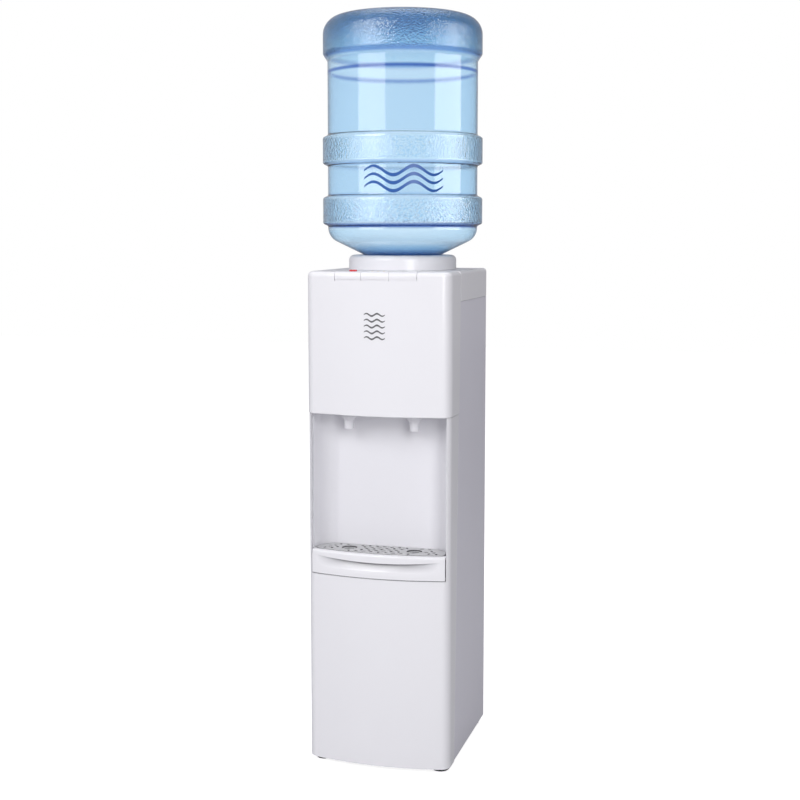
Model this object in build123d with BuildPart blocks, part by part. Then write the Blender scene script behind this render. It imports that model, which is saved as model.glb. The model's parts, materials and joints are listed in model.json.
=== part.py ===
from build123d import *
from math import radians, sin, sqrt
import os

# Floor-standing top-loading water dispenser with its bottle.
# Millimetres. X to the right, Y to the back, Z up. The origin is on the floor,
# at the centre of the plan box that holds the cabinet and the bottle.

# ---- driving dimensions ----
BODY_W = 248.0  # cabinet width
FRONT_Y = -153.5  # foremost point of the bowed front
BACK_Y = 132.5  # rear edge of the side panels
BODY_BASE = 8.0  # underside of the cabinet, above the feet
BODY_TOP = 838.0  # top of the cover
BOW_R = 440.0  # plan radius of the bowed front
CORNER_R = 18.0  # plan radius of the two front corners
SKIRT_Z = 788.0  # lower edge of the top cover's skirt
SEAM_LOW_Y = -97.0  # rear edge of the front mouldings, at floor level
SEAM_HIGH_Y = -66.0  # the same at the top of the cabinet

MOULD = 3.0  # wall of the plastic mouldings
SHEET = 1.2  # wall of the steel panels
SEAM = 0.6  # gap between neighbouring skins
LOWER_INSET = 1.0  # lower front and side panels stand this far inside the upper ones

PANEL_Z = 601.0  # lower edge of the upper front panel
ALCOVE_HALF = 117.0  # half width of the dispensing recess
ALCOVE_BACK_Y = -86.0  # back wall of the recess
TRAY_SEAM_Z = 328.5  # seam under the drip tray
TRAY_TOP_Z = 370.0  # top of the drip tray's lip
GRILLE_TOP_Z = 371.0

OUTLET_X = 57.0  # the two outlets stand at -57 and +57
OUTLET_Y = -113.0
NOZZLE_TIP_Z = 574.0
VALVE_Z = 606.0  # underside of the valve bodies
INLET_Z = 640.0  # height of the valves' inlets

BUTTON_IN = 23.5  # inner edge of a push button
BUTTON_OUT = 69.0  # outer edge of a push button
BUTTON_BACK_Y = -105.0
BUTTON_TRAVEL = 2.5
BUTTON_LIP_Z = 826.0  # lower edge of a button's front lip

BOTTLE_Y = 16.0  # axis of the bottle, collar and cold tank
BOTTLE_WALL = 2.0
BOTTLE_TOP = 1267.0
BOTTLE_R = 128.8  # wall between the rings
RING_R = 137.5  # the two raised rings
BAND_R = 136.5  # the band round the bottle's base
NECK_R = 27.5
NECK_END = 792.0
SHOULDER_Z = 893.4  # where the shoulder's cone would meet the wall
SHOULDER_SLOPE = 0.49
COLLAR_R = 93.0
COLLAR_TOP = 863.0
SOCKET_R = 31.0

TANK_R = 68.0
TANK_LOW, TANK_HIGH = 628.0, 772.0
COIL_R = 71.2
TUBE_R = 2.6
FOAM_R = 86.0
HOT_Y = 30.0
HOT_R = 45.0
HOT_LOW, HOT_HIGH = 400.0, 545.0
COMPRESSOR_Y = 40.0
COMPRESSOR_R = 60.0
REAR_Y = 104.0  # front face of the rear panel
REAR_LOW_Z = 230.0
CONDENSER_Y = 118.0
FOOT_X, FOOT_FRONT_Y, FOOT_BACK_Y, FOOT_R = 103.0, -113.0, 108.0, 16.0

HALF_W = BODY_W / 2
BOW_Y = FRONT_Y + BOW_R  # centre of the bow
FAR = 300.0  # wider than anything it cuts
ABOVE = 1400.0  # higher than anything it cuts


# ---- shared geometry ----
def bow_y(x, inset=0.0):
    """Y of the bowed front, moved inwards by inset, at the width x."""
    return BOW_Y - sqrt((BOW_R - inset) ** 2 - x**2)


def seam_y(z):
    """Y of the sloping side seam at the height z."""
    return SEAM_LOW_Y + (SEAM_HIGH_Y - SEAM_LOW_Y) * z / BODY_TOP


def bowed_face(z, inset, back_y):
    """Plan outline of the cabinet at the height z: bowed front, round corners, straight sides."""
    half = HALF_W - inset
    edge_y = bow_y(half, inset)
    with BuildSketch(Plane.XY.offset(z)) as face:
        with BuildLine():
            ThreePointArc((-half, edge_y), (0, FRONT_Y + inset), (half, edge_y))
            Polyline((half, edge_y), (half, back_y), (-half, back_y), (-half, edge_y))
        make_face()
        fillet(face.vertices().group_by(Axis.Y)[0], CORNER_R - inset)
    return face.sketch


def bowed_block(low, high, inset, back_y, mode=Mode.ADD):
    extrude(bowed_face(low, inset, back_y), amount=high - low, mode=mode)


def keep_ahead_of_seam():
    """Trims a front moulding's wings along the sloping side seam."""
    with BuildSketch(Plane.YZ.offset(-FAR)) as side:
        Polygon(
            (FRONT_Y - FAR, 0),
            (seam_y(0), 0),
            (seam_y(ABOVE), ABOVE),
            (FRONT_Y - FAR, ABOVE),
            align=None,
        )
    extrude(side.sketch, amount=2 * FAR, mode=Mode.INTERSECT)


def block(low, high, mode=Mode.ADD):
    """A box between two corners."""
    size = [h - l for l, h in zip(low, high)]
    centre = [(h + l) / 2 for l, h in zip(low, high)]
    with Locations(tuple(centre)):
        Box(*size, mode=mode)


def rod(x, y, radius, low, high, mode=Mode.ADD):
    """An upright cylinder."""
    with BuildSketch(Plane.XY.offset(low)) as disc:
        with Locations((x, y)):
            Circle(radius)
    extrude(disc.sketch, amount=high - low, mode=mode)


def tube(x, y, outer, inner, low, high):
    """An upright tube."""
    with BuildSketch(Plane.XY.offset(low)) as ring:
        with Locations((x, y)):
            Circle(outer)
            Circle(inner, mode=Mode.SUBTRACT)
    extrude(ring.sketch, amount=high - low)


def level_rod(x, z, radius, low_y, high_y, mode=Mode.ADD):
    """A cylinder lying along Y."""
    with BuildSketch(Plane(origin=(x, low_y, z), x_dir=(1, 0, 0), z_dir=(0, 1, 0))) as disc:
        Circle(radius)
    extrude(disc.sketch, amount=high_y - low_y, mode=mode)


def upright_plane(x, y):
    """Drawing plane for turned pieces: its X is the radius and its Y is the height."""
    return Plane(origin=(x, y, 0), x_dir=(1, 0, 0), z_dir=(0, -1, 0))


def turn(section, x, y, mode=Mode.ADD):
    revolve(section, axis=Axis((x, y, 0), (0, 0, 1)), mode=mode)


def turned(x, y, points, mode=Mode.ADD):
    """A piece turned about an upright axis from its half section."""
    with BuildSketch(upright_plane(x, y)) as section:
        Polygon(*points, align=None)
    turn(section.sketch, x, y, mode)


def bent_pipe(points, radii, outer, inner=0.0):
    """A pipe along straight runs joined by arcs."""
    with BuildLine() as route:
        FilletPolyline(*points, radius=radii)
    with BuildSketch(Plane(origin=route.line @ 0, z_dir=route.line % 0)) as section:
        Circle(outer)
        if inner:
            Circle(inner, mode=Mode.SUBTRACT)
    sweep(section.sketch, path=route.line)


def save(piece, name):
    piece.part.label = name
    export_step(piece.part, f"parts/{name}.step")


os.makedirs("parts", exist_ok=True)

# ---- base ----
PAN_INSET = 5.0
PAN_Z = 9.0
PAN_RIM = 30.0
GROMMET_X, GROMMET_DY = 72.0, 42.0
PLATE_Z = 27.0  # compressor's base plate
grommet_spots = [
    (sx * GROMMET_X, COMPRESSOR_Y + sy * GROMMET_DY) for sx in (-1, 1) for sy in (-1, 1)
]
foot_spots = [(sx * FOOT_X, y) for sx in (-1, 1) for y in (FOOT_FRONT_Y, FOOT_BACK_Y)]

with BuildPart() as base_pan:
    bowed_block(PAN_Z, PAN_RIM, PAN_INSET, BACK_Y - 2)
    bowed_block(PAN_Z + SHEET, PAN_RIM + 1, PAN_INSET + SHEET, BACK_Y - 2 - SHEET, Mode.SUBTRACT)
    for vent_y in range(-100, -30, 14):
        with BuildSketch(Plane.XY.offset(PAN_Z - 1)):
            with Locations((0, vent_y)):
                SlotOverall(90, 5)
        extrude(amount=SHEET + 2, mode=Mode.SUBTRACT)
save(base_pan, "base_pan")

with BuildPart() as feet:
    for foot_x, foot_y in foot_spots:
        turned(
            foot_x,
            foot_y,
            [
                (0, 0),
                (FOOT_R - 2, 0),
                (FOOT_R, 2),
                (FOOT_R, BODY_BASE),
                (6, BODY_BASE),
                (6, PAN_Z),
                (0, PAN_Z),
            ],
        )
save(feet, "feet")

# ---- front mouldings ----
TUCK_INSET = 3.2  # the part of the lower moulding that stands behind the upper panel
TUCK_TOP = 640.0
BRIDGE_Z = 607.0
TUCK_THIN_Z = 604.6  # below this the tucked wall leaves room for the recess liner
UPPER_WALL = 2.8

with BuildPart() as lower_front_panel:
    bowed_block(BODY_BASE, PANEL_Z - SEAM, LOWER_INSET, 0)
    bowed_block(PANEL_Z - 5, TUCK_TOP, TUCK_INSET, 0)
    bowed_block(0, PANEL_Z - 5, LOWER_INSET + MOULD, 1, Mode.SUBTRACT)
    bowed_block(PANEL_Z - 5, TUCK_THIN_Z, TUCK_INSET + 1.6, 1, Mode.SUBTRACT)
    bowed_block(TUCK_THIN_Z, TUCK_TOP + 1, TUCK_INSET + MOULD, 1, Mode.SUBTRACT)
    block((-ALCOVE_HALF, -FAR, TRAY_SEAM_Z), (ALCOVE_HALF, -100, BRIDGE_Z), Mode.SUBTRACT)
    keep_ahead_of_seam()
save(lower_front_panel, "lower_front_panel")

LEDGE = 10.0  # thick rim under the rounded top edge of the upper panel
TOP_ROUND = 8.0
BAY_HALF = BUTTON_OUT + 1.0
BAY_Z = BUTTON_LIP_Z - BUTTON_TRAVEL - 0.3
BAY_LIP = 1.0  # the panel is this thin where the keys' skirts slide down behind it
INNER_SKIRT_Z = 812.0  # lower edge of those skirts

with BuildPart() as skirt_room:
    bowed_block(INNER_SKIRT_Z - BUTTON_TRAVEL - 1, BAY_Z + 1, BAY_LIP, 1)
    block((-BAY_HALF, -FAR, 0), (BAY_HALF, FAR, ABOVE), Mode.INTERSECT)

with BuildPart() as upper_front_panel:
    bowed_block(PANEL_Z, BODY_TOP, 0, 0)
    top_rim = upper_front_panel.edges().group_by(Axis.Z)[-1].sort_by(Axis.Y)
    fillet(top_rim[:-1], TOP_ROUND)
    low_rim = upper_front_panel.edges().group_by(Axis.Z)[0].sort_by(Axis.Y)
    fillet(low_rim[:-1], 1.2)
    bowed_block(PANEL_Z - 1, BODY_TOP - LEDGE, UPPER_WALL, 1, Mode.SUBTRACT)
    bowed_block(BODY_TOP - LEDGE, BODY_TOP - 4, LEDGE, 1, Mode.SUBTRACT)
    block(
        (-HALF_W + LEDGE, BUTTON_BACK_Y, BODY_TOP - LEDGE),
        (HALF_W - LEDGE, 1, BODY_TOP + 1),
        Mode.SUBTRACT,
    )
    block((-BAY_HALF, -FAR, BAY_Z), (BAY_HALF, BUTTON_BACK_Y, BODY_TOP + 1), Mode.SUBTRACT)
    add(skirt_room.part, mode=Mode.SUBTRACT)
    keep_ahead_of_seam()
save(upper_front_panel, "upper_front_panel")

# ---- recess liner ----
LINER = 2.5
LINER_FRONT_Y = -126.0
LINER_HALF = 115.9  # at its front edge
LINER_BACK_HALF = 108.0
LINER_ROUND = 26.0
BAY_FLOOR_Z = 330.5
CEILING_TOP_Z = 604.0


def liner_face(z, grow):
    """Plan of the recess: a flat back, large round corners and sides that flare forwards."""
    with BuildSketch(Plane.XY.offset(z)) as face:
        with BuildLine():
            Polyline(
                (-LINER_HALF - grow, LINER_FRONT_Y),
                (-LINER_BACK_HALF - grow, ALCOVE_BACK_Y + grow),
                (LINER_BACK_HALF + grow, ALCOVE_BACK_Y + grow),
                (LINER_HALF + grow, LINER_FRONT_Y),
                close=True,
            )
        make_face()
        fillet(face.vertices().group_by(Axis.Y)[-1], LINER_ROUND + grow)
    return face.sketch


with BuildPart() as alcove_liner:
    extrude(liner_face(BAY_FLOOR_Z - LINER, LINER), amount=CEILING_TOP_Z - BAY_FLOOR_Z + LINER)
    extrude(liner_face(BAY_FLOOR_Z, 0), amount=PANEL_Z + SEAM - BAY_FLOOR_Z, mode=Mode.SUBTRACT)
    bowed_block(PANEL_Z + SEAM, CEILING_TOP_Z, TUCK_INSET + MOULD + 1, -100)
    for side in (-1, 1):
        rod(side * OUTLET_X, OUTLET_Y, 13.0, PANEL_Z - 5, CEILING_TOP_Z + 5, Mode.SUBTRACT)
save(alcove_liner, "alcove_liner")

# ---- steel panels ----
SIDE_LOW_Z = 10.0
SIDE_X = HALF_W - LOWER_INSET  # outer face of a side panel
REAR_FLANGE = 12.0


def side_panel(side):
    """A folded steel side with a rear flange, cut along the sloping front seam."""
    outer, inner = side * SIDE_X, side * (SIDE_X - SHEET)
    flange = side * (SIDE_X - REAR_FLANGE)
    with BuildPart() as panel:
        with BuildSketch(Plane.XY.offset(SIDE_LOW_Z)):
            Polygon(
                (outer, SEAM_LOW_Y - 5),
                (outer, BACK_Y),
                (flange, BACK_Y),
                (flange, BACK_Y - SHEET),
                (inner, BACK_Y - SHEET),
                (inner, SEAM_LOW_Y - 5),
                align=None,
            )
        extrude(amount=SKIRT_Z - SEAM - SIDE_LOW_Z)
        with BuildSketch(Plane.YZ.offset(-FAR)):
            Polygon(
                (seam_y(0) + SEAM, 0),
                (BACK_Y + 1, 0),
                (BACK_Y + 1, BODY_TOP),
                (seam_y(BODY_TOP) + SEAM, BODY_TOP),
                align=None,
            )
        extrude(amount=2 * FAR, mode=Mode.INTERSECT)
    return panel


save(side_panel(-1), "side_panel_left")
save(side_panel(1), "side_panel_right")

REAR_HALF = 121.0
REAR_HIGH_Z = 784.0
SWITCH_Z = 735.0
SWITCH_XS = (-88.0, -60.0)
GLAND_X, GLAND_Z, GLAND_BORE = -95.0, 252.0, 4.0
DRAIN_X, DRAIN_Z = 20.0, 262.0
LOUVRE_ROWS = [676.0 + 9 * row for row in range(12)]
SCREW_X = 114.0
SCREW_ZS = (248.0, 420.0, 600.0, 768.0)

with BuildPart() as rear_panel:
    block((-REAR_HALF, REAR_Y, REAR_LOW_Z), (REAR_HALF, REAR_Y + SHEET, REAR_HIGH_Z))
    for side in (-1, 1):
        edge = sorted((side * REAR_HALF, side * (REAR_HALF - SHEET)))
        block((edge[0], REAR_Y - 12, REAR_LOW_Z), (edge[1], REAR_Y, REAR_HIGH_Z))
    with BuildSketch(Plane.XZ.offset(-REAR_Y - 2)):
        for louvre_z in LOUVRE_ROWS:
            for louvre_x in (-12, 38, 88):
                with Locations((louvre_x, louvre_z)):
                    SlotOverall(40, 3.5)
    extrude(amount=4, mode=Mode.SUBTRACT)
    block((-104, REAR_Y - 1, SWITCH_Z - 18), (-44, REAR_Y + 2, SWITCH_Z + 18), Mode.SUBTRACT)
    level_rod(GLAND_X, GLAND_Z, 8.0, REAR_Y - 1, REAR_Y + 2, Mode.SUBTRACT)
    level_rod(DRAIN_X, DRAIN_Z, 9.0, REAR_Y - 1, REAR_Y + 2, Mode.SUBTRACT)
    for screw_z in SCREW_ZS:
        for side in (-1, 1):
            level_rod(side * SCREW_X, screw_z, 2.0, REAR_Y - 1, REAR_Y + 2, Mode.SUBTRACT)
save(rear_panel, "rear_panel")

with BuildPart() as rear_screws:
    for screw_z in SCREW_ZS:
        for side in (-1, 1):
            level_rod(side * SCREW_X, screw_z, 1.8, REAR_Y - 6, REAR_Y + SHEET)
            level_rod(side * SCREW_X, screw_z, 3.8, REAR_Y + SHEET, REAR_Y + SHEET + 2)
    heads = rear_screws.faces().sort_by(Axis.Y)[-8:]
    chamfer(heads.edges(), 0.7)
save(rear_screws, "rear_screws")

# ---- top cover ----
COVER_NOTCH = HALF_W - LEDGE - SEAM
COVER_FRONT_Y = BUTTON_BACK_Y + SEAM
COVER_ROUND = 6.0


def cover_face(z, inset):
    """Plan of the top cover: full width at the back, narrower between the upper panel's wings."""
    half, notch = HALF_W - inset, COVER_NOTCH - inset
    step_y = SEAM_HIGH_Y + SEAM + inset
    with BuildSketch(Plane.XY.offset(z)) as face:
        Polygon(
            (-half, BACK_Y - inset),
            (-half, step_y),
            (-notch, step_y),
            (-notch, COVER_FRONT_Y),
            (notch, COVER_FRONT_Y),
            (notch, step_y),
            (half, step_y),
            (half, BACK_Y - inset),
            align=None,
        )
    return face.sketch


with BuildPart() as top_cover:
    extrude(cover_face(SKIRT_Z, 0), amount=BODY_TOP - SKIRT_Z)
    rear_corners = top_cover.edges().filter_by(Axis.Z).group_by(Axis.Y)[-1]
    fillet(rear_corners, 4.0)
    outer_rim = top_cover.edges().group_by(Axis.Z)[-1].filter_by(
        lambda e: abs(e.center().X) > HALF_W - 3 or e.center().Y > BACK_Y - 3
    )
    fillet(outer_rim, COVER_ROUND)
    extrude(cover_face(SKIRT_Z - 1, MOULD), amount=BODY_TOP - MOULD - SKIRT_Z + 1, mode=Mode.SUBTRACT)
    block(
        (-COVER_NOTCH, COVER_FRONT_Y - 1, SKIRT_Z - 1),
        (COVER_NOTCH, SEAM_HIGH_Y + SEAM + MOULD + 1, BODY_TOP - MOULD),
        Mode.SUBTRACT,
    )
    rod(0, BOTTLE_Y, SOCKET_R + 5, BODY_TOP - 10, BODY_TOP + 1, Mode.SUBTRACT)
save(top_cover, "top_cover")

# ---- bottle seat ----
SEAT_GAP = 0.5


def shoulder_z(radius):
    """Height of the bottle's conical shoulder at a radius."""
    return SHOULDER_Z - (BOTTLE_R - radius) * SHOULDER_SLOPE


SEAT_OUT, SEAT_IN = 68.0, 37.0
SOCKET_LOW = 784.0
with BuildPart() as bottle_collar:
    with BuildSketch(upright_plane(0, BOTTLE_Y)) as section:
        Polygon(
            (COLLAR_R, BODY_TOP + 0.2),
            (COLLAR_R, COLLAR_TOP),
            (SEAT_OUT, COLLAR_TOP),
            (SEAT_IN, shoulder_z(SEAT_IN) - SEAT_GAP),
            (SOCKET_R, shoulder_z(SEAT_IN) - 4),
            (SOCKET_R, SOCKET_LOW),
            (22, SOCKET_LOW),
            (22, SOCKET_LOW - 3),
            (SOCKET_R + 3, SOCKET_LOW - 3),
            (SOCKET_R + 3, shoulder_z(SEAT_IN) - 5),
            (SEAT_OUT, COLLAR_TOP - 3.5),
            (COLLAR_R - 3.5, COLLAR_TOP - 3.5),
            (COLLAR_R - 3.5, BODY_TOP + 0.2),
            align=None,
        )
        rim = section.vertices().group_by(Axis.Y)[-1].sort_by(Axis.X)
        fillet(rim[-1], 9.0)
    turn(section.sketch, 0, BOTTLE_Y)
save(bottle_collar, "bottle_collar")

PROBE_TOP = 822.0
with BuildPart() as probe:
    turned(
        0,
        BOTTLE_Y,
        [
            (4.5, SOCKET_LOW - 20),
            (7.5, SOCKET_LOW - 20),
            (7.5, SOCKET_LOW + 0.1),
            (SOCKET_R - 0.4, SOCKET_LOW + 0.1),
            (SOCKET_R - 0.4, SOCKET_LOW + 2.5),
            (7.5, SOCKET_LOW + 2.5),
            (7.5, PROBE_TOP - 6),
            (4.5, PROBE_TOP),
        ],
    )
    with BuildSketch(Plane.XY.offset(SOCKET_LOW - 1)):
        with Locations((0, BOTTLE_Y)):
            with PolarLocations(15, 6):
                Circle(4)
    extrude(amount=5, mode=Mode.SUBTRACT)
    with Locations((0, BOTTLE_Y, PROBE_TOP - 14)):
        Cylinder(2.2, 40, rotation=(90, 0, 0), mode=Mode.SUBTRACT)
        Cylinder(2.2, 40, rotation=(0, 90, 0), mode=Mode.SUBTRACT)
save(probe, "probe")

# ---- bottle ----
def bottle_outline(inset):
    """Half section of the bottle, moved inwards by inset."""
    wall, ring, band = BOTTLE_R - inset, RING_R - inset, BAND_R - inset
    shoulder = SHOULDER_Z + inset * 0.6
    neck = NECK_R - inset
    cone = shoulder - (wall - neck) * SHOULDER_SLOPE
    top = BOTTLE_TOP - inset
    corners = [
        ((neck, cone), 6),
        ((wall, shoulder), 26),
        ((wall, 912.5), 3),
        ((ring, 916.5), 4),
        ((ring, 960.5), 4),
        ((wall, 964.5), 3),
        ((wall, 1015), 3),
        ((ring, 1019), 4),
        ((ring, 1063), 4),
        ((wall, 1067), 3),
        ((wall, 1192), 3),
        ((band, 1204), 5),
        ((band, top), 31 - inset),
        ((97, top), 3),
        ((93, top - 5), 3),
    ]
    low = NECK_END if inset == 0 else NECK_END - 5
    points = [(neck, low)] + [p for p, _ in corners] + [(0, top - 5)]
    radii = [r for _, r in corners]
    with BuildSketch(upright_plane(0, BOTTLE_Y)) as section:
        with BuildLine():
            FilletPolyline(*points, radius=radii)
            Polyline((0, top - 5), (0, low), (neck, low))
        make_face()
    return section.sketch


with BuildPart() as bottle:
    turn(bottle_outline(0), 0, BOTTLE_Y)
    turn(bottle_outline(BOTTLE_WALL), 0, BOTTLE_Y, Mode.SUBTRACT)
save(bottle, "bottle")

CAP_LOW = 789.0
with BuildPart() as bottle_cap:
    turned(
        0,
        BOTTLE_Y,
        [
            (8.5, CAP_LOW),
            (29.5, CAP_LOW),
            (29.5, CAP_LOW + 24),
            (NECK_R + 0.1, CAP_LOW + 24),
            (NECK_R + 0.1, CAP_LOW + 2.5),
            (10.5, CAP_LOW + 2.5),
            (10.5, CAP_LOW + 12),
            (8.5, CAP_LOW + 12),
        ],
    )
save(bottle_cap, "bottle_cap")

# ---- push buttons ----
BUTTON_TOP = BODY_TOP + 0.3
BUTTON_WALL = 2.2
SKIRT_INSET = BAY_LIP + 0.3  # a button's inner skirt stands behind the upper panel
STEM_R = 3.0
PLUNGER_TOP = 671.5


def key_shell(low_x, high_x):
    """The shell of one key in the row: it carries on the front panel's bow and rounded top edge."""
    with BuildPart() as shell:
        bowed_block(BUTTON_LIP_Z, BUTTON_TOP, 0, BUTTON_BACK_Y - SEAM)
        rim = shell.edges().group_by(Axis.Z)[-1].sort_by(Axis.Y)
        fillet(rim[:-1], TOP_ROUND)
        hollow_back_y = BUTTON_BACK_Y - 3
        hollow_top = BUTTON_TOP - BUTTON_WALL - 5
        bowed_block(BUTTON_LIP_Z - 1, hollow_top, BUTTON_WALL + 2, hollow_back_y, Mode.SUBTRACT)
        bowed_block(INNER_SKIRT_Z, BUTTON_LIP_Z + 2, SKIRT_INSET, BUTTON_BACK_Y - SEAM)
        skirt_hollow_inset = SKIRT_INSET + BUTTON_WALL
        bowed_block(INNER_SKIRT_Z - 1, BUTTON_LIP_Z + 3, skirt_hollow_inset, hollow_back_y, Mode.SUBTRACT)
        block((low_x, -FAR, 0), (high_x, 0, 2 * BODY_TOP), Mode.INTERSECT)
    return shell


LOCK_X, LOCK_Y = -41.0, -137.0
LOCK_TRAVEL = 5.0


def push_button(side, slotted):
    """A key with a long stem that reaches down to its valve."""
    edges = sorted((side * (BUTTON_IN + SEAM / 2), side * (BUTTON_OUT + SEAM / 2)))
    shell = key_shell(*edges)
    with BuildPart() as button:
        add(shell.part)
        rod(side * OUTLET_X, OUTLET_Y, STEM_R, PLUNGER_TOP + 0.3, BUTTON_TOP - BUTTON_WALL)
        if slotted:
            block(
                (LOCK_X - 4, LOCK_Y - 2, BUTTON_TOP - 12),
                (LOCK_X + 4 + LOCK_TRAVEL, LOCK_Y + 2, BUTTON_TOP + 1),
                Mode.SUBTRACT,
            )
    return button


save(push_button(-1, True), "hot_button")
save(push_button(1, False), "cold_button")

LENS_XS = (-10.0, 0.0, 10.0)
LENS_R = 1.6
LENS_Y = -132.0
block_shell = key_shell(-BUTTON_IN + SEAM / 2, BUTTON_IN - SEAM / 2)
with BuildPart() as indicator_block:
    add(block_shell.part)
    for lens_x in LENS_XS:
        rod(lens_x, LENS_Y, LENS_R, BUTTON_TOP - 12, BUTTON_TOP + 1, Mode.SUBTRACT)
save(indicator_block, "indicator_block")

with BuildPart() as indicator_lenses:
    for lens_x in LENS_XS:
        rod(lens_x, LENS_Y, LENS_R - 0.05, BUTTON_TOP - 8, BUTTON_TOP + 0.3)
save(indicator_lenses, "indicator_lenses")

with BuildPart() as child_lock:
    with BuildSketch(Plane.XY.offset(BUTTON_TOP + 0.1)):
        with Locations((LOCK_X, LOCK_Y)):
            SlotOverall(13, 7)
    extrude(amount=2.6)
    top_edges = child_lock.edges().group_by(Axis.Z)[-1]
    fillet(top_edges, 1.2)
    block((LOCK_X - 3.6, LOCK_Y - 1.7, BUTTON_TOP - 10), (LOCK_X + 3.6, LOCK_Y + 1.7, BUTTON_TOP + 0.5))
save(child_lock, "child_lock")

# ---- outlets: nozzle, valve body, plunger and spring ----
VALVE_R = 14.0
VALVE_TOP = 652.0
PISTON_R = 6.0
STUB_R = 4.5


def nozzle(side):
    with BuildPart() as piece:
        turned(
            side * OUTLET_X,
            OUTLET_Y,
            [
                (4.5, NOZZLE_TIP_Z),
                (7.2, NOZZLE_TIP_Z),
                (8.0, NOZZLE_TIP_Z + 1),
                (8.8, NOZZLE_TIP_Z + 15),
                (12.5, NOZZLE_TIP_Z + 21),
                (12.7, VALVE_Z - 0.1),
                (4.5, VALVE_Z - 0.1),
            ],
        )
    return piece


def valve_body(side):
    x = side * OUTLET_X
    with BuildPart() as piece:
        turned(
            x,
            OUTLET_Y,
            [
                (0, VALVE_Z),
                (VALVE_R + 3, VALVE_Z),
                (VALVE_R + 3, VALVE_Z + 3),
                (VALVE_R, VALVE_Z + 3),
                (VALVE_R, VALVE_TOP - 4),
                (VALVE_R - 3, VALVE_TOP),
                (0, VALVE_TOP),
            ],
        )
        level_rod(x, INLET_Z, STUB_R, OUTLET_Y, -76)
        level_rod(x, INLET_Z, 3.0, OUTLET_Y, -75, Mode.SUBTRACT)
        rod(x, OUTLET_Y, PISTON_R + 0.05, VALVE_Z + 4, VALVE_TOP + 1, Mode.SUBTRACT)
        rod(x, OUTLET_Y, STUB_R, VALVE_Z - 1, VALVE_Z + 5, Mode.SUBTRACT)
    return piece


def plunger(side):
    with BuildPart() as piece:
        turned(
            side * OUTLET_X,
            OUTLET_Y,
            [
                (0, 618),
                (PISTON_R, 618),
                (PISTON_R, 633),
                (STEM_R, 636),
                (STEM_R, PLUNGER_TOP - 3),
                (7, PLUNGER_TOP - 3),
                (7, PLUNGER_TOP),
                (0, PLUNGER_TOP),
            ],
        )
    return piece


SPRING_R, WIRE_R = 6.8, 0.7
SPRING_LOW, SPRING_HIGH = VALVE_TOP + WIRE_R + 0.1, PLUNGER_TOP - 3 - WIRE_R - 0.1


def spring(side):
    height = SPRING_HIGH - SPRING_LOW
    centre = (side * OUTLET_X, OUTLET_Y, SPRING_LOW)
    with BuildPart() as piece:
        with BuildLine() as coil:
            Helix(height / 4, height, SPRING_R, center=centre)
        with BuildSketch(Plane(origin=coil.line @ 0, z_dir=coil.line % 0)):
            Circle(WIRE_R)
        sweep(path=coil.line, is_frenet=True)
    return piece


for side, word in ((-1, "hot"), (1, "cold")):
    save(nozzle(side), f"{word}_nozzle")
    save(valve_body(side), f"{word}_valve")
    save(plunger(side), f"{word}_plunger")
    save(spring(side), f"{word}_spring")

# ---- drip tray and grille ----
TRAY_HALF = 115.6
TRAY_INSET = LOWER_INSET
SCOOP_DEPTH = 8.0
SCOOP_HALF = 108.0
SCOOP_LOW, SCOOP_HIGH = 337.0, 360.0
TUB_FLOOR = 331.5
RAIL_Z = GRILLE_TOP_Z - 5.0
TRAY_FRONT_BACK_Y = LINER_FRONT_Y - 0.5
LIP_WIDTH = 9.0
LIP_LOW_Z, LIP_END_Z = 356.0, 361.0  # the lip's lower edge, at its middle and at its ends
GRILLE_HALF = 111.0


def scooped_face(z, depth):
    """Plan of the tray's front at the height z, hollowed in the middle by depth."""
    edge_y = bow_y(SCOOP_HALF, TRAY_INSET)
    end_y = bow_y(TRAY_HALF, TRAY_INSET)
    with BuildSketch(Plane.XY.offset(z)) as face:
        with BuildLine():
            ThreePointArc((-SCOOP_HALF, edge_y), (0, FRONT_Y + TRAY_INSET + depth), (SCOOP_HALF, edge_y))
            Polyline(
                (SCOOP_HALF, edge_y),
                (TRAY_HALF, end_y),
                (TRAY_HALF, TRAY_FRONT_BACK_Y),
                (-TRAY_HALF, TRAY_FRONT_BACK_Y),
                (-TRAY_HALF, end_y),
                (-SCOOP_HALF, edge_y),
            )
        make_face()
    return face.sketch


def scoop_depth(share):
    """Depth of the finger scoop from its foot, share 0, to its deepest line, share 1."""
    return SCOOP_DEPTH * sin(radians(90 * share)) ** 2


def grille_face(z, inset):
    """Plan of the grille: bowed front, straight back, large round rear corners."""
    half = GRILLE_HALF - inset
    front_inset = TRAY_INSET + LIP_WIDTH + inset
    edge_y = bow_y(half, front_inset)
    back_y = ALCOVE_BACK_Y - 1.2 - inset
    with BuildSketch(Plane.XY.offset(z)) as face:
        with BuildLine():
            ThreePointArc((-half, edge_y), (0, FRONT_Y + front_inset), (half, edge_y))
            Polyline((half, edge_y), (half, back_y), (-half, back_y), (-half, edge_y))
        make_face()
        fillet(face.vertices().group_by(Axis.Y)[-1], 30.0 - inset)
        fillet(face.vertices().group_by(Axis.Y)[0], 4.0)
    return face.sketch


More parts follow.
